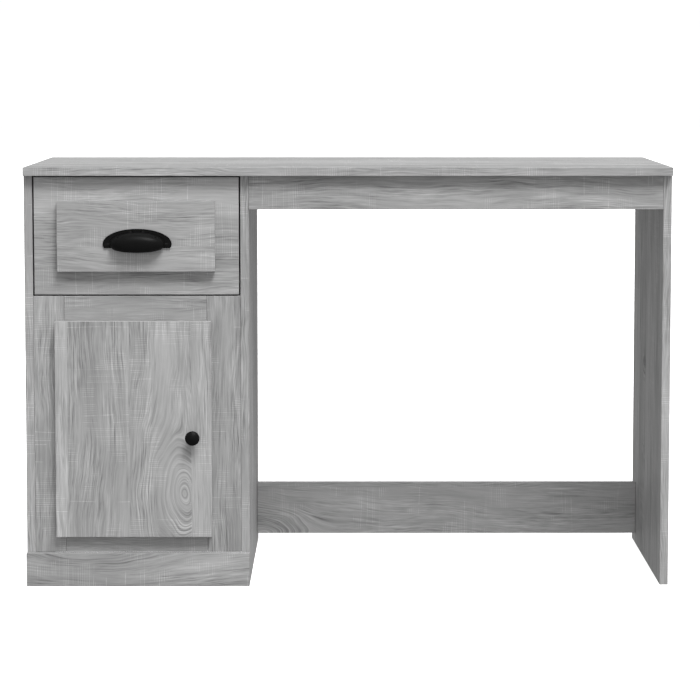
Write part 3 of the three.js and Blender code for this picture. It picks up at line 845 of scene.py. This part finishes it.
def finish_cam(node, direction):
    low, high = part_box(node)
    direction = Vector(direction)
    middle = (low + high) / 2
    length = abs((high - low).dot(direction))
    profile = [
        (0, -length),
        (CAM_RADIUS, -length),
        (CAM_RADIUS, -CAM_EDGE),
        (CAM_RADIUS - CAM_EDGE, 0),
        (0.8 * CAM_RADIUS, 0),
        (0.75 * CAM_RADIUS, -0.4 * MM),
        (0, -0.4 * MM),
    ]
    bm = spin_profile(profile, 48)
    press_cross(bm, -0.6 * MM, 0.9 * CAM_RADIUS, CAM_SLOT_WIDTH, CAM_SLOT_DEPTH)
    aim(bm, middle + direction * length / 2, direction)
    make_piece(f"{node}_cast", bm, [zinc_steel], [node], smooth=True)


CAM_FACES = {
    # board: which way its cams look out
    "cabinet_side_left": (1, 0, 0),
    "cabinet_side_right": (-1, 0, 0),
    "leg_panel": (-1, 0, 0),
    "apron": (0, 1, 0),
    "back_rail": (0, 1, 0),
}
cams = [node for node in body_of if "_cam_" in node]
for node in cams:
    finish_cam(node, CAM_FACES[node.split("_cam_")[0]])
screws = [node for node in body_of if "_screw" in node]
for node in screws:
    finish_screw(node)
print("cams", len(cams), "screws", len(screws))

# %% [markdown]
# ## The drawer's runners
# Each runner is a channel folded from thin enamelled sheet, with a nylon roller riveted to one
# end. The folded sheet keeps the frame's shape, with its edges rounded, and gains the flat
# screws that hold it to the board. The rollers are turned: a tread, a hub and a groove between.

# %% Make the runners and rollers
SHEET = 1.25 * MM
FOLD_ROUNDING = 0.3 * MM
RUNNER_SCREW = {"radius": 3.2 * MM, "height": 0.75 * MM}
SCREWS_ALONG = (0.15, 0.48, 0.8)
CASE_SCREW_RISE = 11 * MM
DRAWER_SCREW_RISE = 9 * MM


def finish_runner(node, outwards, screw_rise):
    low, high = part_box(node)
    bm = clean_copy(node)
    bevel_edges(bm, FOLD_ROUNDING, shortest=10 * FOLD_ROUNDING)
    in_case = "case" in node
    web_x = low.x if (outwards > 0) == in_case else high.x
    looks = outwards if in_case else -outwards
    face_x = web_x + looks * SHEET
    for share in SCREWS_ALONG:
        place = (face_x, low.y + share * (high.y - low.y), low.z + screw_rise)
        merge_into(bm, screw(place, (looks, 0, 0), **RUNNER_SCREW))
    make_piece(f"{node}_folded", bm, [enamelled_steel], [node], smooth=True)


def finish_roller(node):
    low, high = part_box(node)
    width = high.x - low.x
    radius = (high.z - low.z) / 2
    bore, hub, tread = 2.5 * MM, 4.3 * MM, radius - 1.6 * MM
    groove, edge = 0.7 * MM, 0.35 * MM
    half = [
        (bore, 0),
        (hub, 0),
        (hub + 0.2 * MM, groove),
        (tread - 0.2 * MM, groove),
        (tread, 0),
        (radius - edge, 0),
        (radius, edge),
    ]
    profile = half + [(reach, width - along) for reach, along in reversed(half)] + [half[0]]
    middle_y, middle_z = (low.y + high.y) / 2, (low.z + high.z) / 2
    bm = aim(spin_profile(profile, 64), (low.x, middle_y, middle_z), (1, 0, 0))
    make_piece(f"{node}_turned", bm, [roller_nylon], [node], smooth=True)


for side, outwards in (("left", 1), ("right", -1)):
    finish_runner(f"runner_case_{side}", outwards, CASE_SCREW_RISE)
    finish_runner(f"runner_drawer_{side}", outwards, DRAWER_SCREW_RISE)
    finish_roller(f"roller_case_{side}")
    finish_roller(f"roller_drawer_{side}")
print("runner screws", 4 * len(SCREWS_ALONG))

# %% [markdown]
# ## The door's hinges
# A concealed hinge is a pressed cup sunk in the door, a link that turns on a pin in the cup, and
# an arm on a plate that is screwed inside the frame. The cup's flange is a ring with two ears: a
# circle bridged to a longer loop gives it. The link and the arm keep the frame's shape, with
# rounded edges, and the arm gets the screw that sets it.

# %% Make the hinges
CUP_RADIUS = 17.5 * MM
FLANGE = 0.75 * MM
EAR_REACH = 8 * MM
EAR_SCREW_RISE = CUP_RADIUS + 5.2 * MM
EAR_SCREW = {"radius": 2.8 * MM, "height": 0.5 * MM}
PLATE_SCREW_RISE = 15 * MM
PLATE_SCREW = {"radius": 3.4 * MM, "height": 1.3 * MM}
ARM_SCREW = {"radius": 2.8 * MM, "height": 1.1 * MM}


def hinge_cup(face, depth):
    """The cup, with its flange's outer face on the given point and its hollow towards +Y."""
    inner, outer, rim = CUP_RADIUS - 1 * MM, CUP_RADIUS, CUP_RADIUS + 2 * MM
    profile = [
        (0, depth - 1 * MM),
        (inner - 1 * MM, depth - 1 * MM),
        (inner, depth - 2 * MM),
        (inner, 0.3 * MM),
        (inner + 0.3 * MM, 0),
        (rim - 0.3 * MM, 0),
        (rim, 0.3 * MM),
        (rim, FLANGE),
        (outer, FLANGE),
        (outer, depth - 0.6 * MM),
        (outer - 0.6 * MM, depth),
        (0, depth),
    ]
    return aim(spin_profile(profile), face, (0, -1, 0))


def hinge_flange(face):
    bm = bmesh.new()
    outer = bmesh.ops.create_circle(bm, segments=64, radius=CUP_RADIUS + 1.9 * MM)["verts"]
    for vert in outer:
        vert.co.y += math.copysign(EAR_REACH, vert.co.y)
    bmesh.ops.create_circle(bm, segments=64, radius=CUP_RADIUS + 0.6 * MM)
    bmesh.ops.bridge_loops(bm, edges=bm.edges)
    bmesh.ops.rotate(bm, verts=bm.verts, matrix=Matrix.Rotation(math.pi / 2, 3, "X"))
    pushed = bmesh.ops.extrude_face_region(bm, geom=bm.faces[:])["geom"]
    back = [item for item in pushed if isinstance(item, bmesh.types.BMVert)]
    bmesh.ops.translate(bm, verts=back, vec=(0, -FLANGE, 0))
    bmesh.ops.recalc_face_normals(bm, faces=bm.faces)
    bevel_edges(bm, 0.2 * MM)
    bmesh.ops.translate(bm, verts=bm.verts, vec=face)
    for side in (-1, 1):
        place = face + Vector((0, 0, side * EAR_SCREW_RISE))
        merge_into(bm, screw(place, (0, 1, 0), **EAR_SCREW))
    return bm


def finish_pin(node):
    low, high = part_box(node)
    radius, length, edge = (high.x - low.x) / 2, high.z - low.z, 0.2 * MM
    profile = [(0, 0), (radius - edge, 0), (radius, edge), (radius, length - edge)]
    profile += [(radius - edge, length), (0, length)]
    bm = aim(spin_profile(profile, 24), ((low.x + high.x) / 2, (low.y + high.y) / 2, low.z), (0, 0, 1))
    make_piece(f"{node}_turned", bm, [zinc_steel], [node], smooth=True)


def finish_hinge(end):
    low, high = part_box(f"hinge_{end}_cup")
    face = Vector(((low.x + high.x) / 2, high.y, (low.z + high.z) / 2))
    cup = merge_into(hinge_cup(face, high.y - low.y), hinge_flange(face))
    make_piece(f"hinge_{end}_cup_pressed", cup, [zinc_steel], [f"hinge_{end}_cup"], smooth=True)

    low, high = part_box(f"hinge_{end}_plate")
    middle = (low + high) / 2
    plate = clean_copy(f"hinge_{end}_plate")
    bevel_edges(plate, 0.5 * MM)
    for side in (-1, 1):
        place = (high.x, middle.y, middle.z + side * PLATE_SCREW_RISE)
        merge_into(plate, screw(place, (1, 0, 0), **PLATE_SCREW))
    make_piece(f"hinge_{end}_plate_cast", plate, [zinc_steel], [f"hinge_{end}_plate"], smooth=True)

    arm = clean_copy(f"hinge_{end}_arm")
    bevel_edges(arm, 0.3 * MM)
    arm_face = max(vert.co.x for vert in arm.verts if vert.co.y > middle.y)
    place = (arm_face, middle.y + 1.5 * MM, middle.z)
    merge_into(arm, screw(place, (1, 0, 0), **ARM_SCREW))
    make_piece(f"hinge_{end}_arm_cast", arm, [zinc_steel], [f"hinge_{end}_arm"], smooth=True)

    link = clean_copy(f"hinge_{end}_link")
    bevel_edges(link, 0.25 * MM)
    make_piece(f"hinge_{end}_link_cast", link, [zinc_steel], [f"hinge_{end}_link"], smooth=True)
    finish_pin(f"hinge_{end}_cup_pin")
    finish_pin(f"hinge_{end}_arm_pin")


for end in ("top", "bottom"):
    finish_hinge(end)
shown = [name for name, node in frame["nodes"].items() if not node.hide_render]
print("frame nodes still shown", shown)

# %% [markdown]
# ## The studio
# A pale floor and a soft key light from the right, high up and in front, with a bright sky of
# studio walls that fills the shadows. The floor and the backdrop are for the eye only: they
# show white, and don't throw light back on the desk.

# %% Light the desk
SKY_LOW = 0.44
SKY_HIGH = 0.8
SKY_TO_RIGHT = 0.1
KEY_STRENGTH = 2.55
KEY_DIRECTION = Vector((0.45, -1.0, 1.66))
KEY_SOFTNESS = math.radians(24)
FLOOR_SIZE = 30
BACKDROP_RADIUS = 40


def studio_sky():
    world = bpy.data.worlds.new("studio")
    world.use_nodes = True
    tree = world.node_tree
    background = tree.nodes["Background"]
    place = tree.nodes.new("ShaderNodeTexCoord").outputs["Generated"]
    split = tree.nodes.new("ShaderNodeSeparateXYZ")
    rise = tree.nodes.new("ShaderNodeMapRange")
    tree.links.new(place, split.inputs[0])
    tree.links.new(split.outputs[2], rise.inputs[0])
    for socket, number in zip(rise.inputs[1:5], (-0.1, 1.0, SKY_LOW, SKY_HIGH)):
        socket.default_value = number
    lean = tree.nodes.new("ShaderNodeMath")
    lean.operation = "MULTIPLY_ADD"
    tree.links.new(split.outputs[0], lean.inputs[0])
    lean.inputs[1].default_value = SKY_TO_RIGHT
    tree.links.new(rise.outputs[0], lean.inputs[2])
    tree.links.new(lean.outputs[0], background.inputs["Strength"])
    background.inputs["Color"].default_value = (1, 1, 1, 1)
    bpy.context.scene.world = world


def key_light():
    light = bpy.data.lights.new("key", "SUN")
    light.energy = KEY_STRENGTH
    light.angle = KEY_SOFTNESS
    lamp = bpy.data.objects.new("key", light)
    lamp.rotation_euler = KEY_DIRECTION.to_track_quat("Z", "Y").to_euler()
    bpy.context.scene.collection.objects.link(lamp)


def glowing(name, shade, glow):
    finish = Finish(name, roughness=0.9)
    finish.set(Base_Color=(shade, shade, shade, 1), Emission_Color=(1, 1, 1, 1))
    finish.set(Emission_Strength=glow)
    return finish.material


def stage_piece(name, bm, material):
    mesh = bpy.data.meshes.new(name)
    bm.to_mesh(mesh)
    bm.free()
    mesh.materials.append(material)
    piece = bpy.data.objects.new(name, mesh)
    bpy.context.scene.collection.objects.link(piece)
    piece.visible_diffuse = False
    piece.visible_glossy = False
    return piece


studio_sky()
key_light()
floor = bmesh.new()
bmesh.ops.create_grid(floor, x_segments=1, y_segments=1, size=FLOOR_SIZE)
stage_piece("floor", floor, glowing("floor_paint", 0.8, 0.95))
dome = bmesh.new()
bmesh.ops.create_uvsphere(dome, u_segments=32, v_segments=16, radius=BACKDROP_RADIUS)
bmesh.ops.reverse_faces(dome, faces=dome.faces)
backdrop = stage_piece("backdrop", dome, glowing("backdrop_paint", 0.0, 1.0))
backdrop.visible_shadow = False
bpy.context.scene.view_settings.view_transform = "Standard"
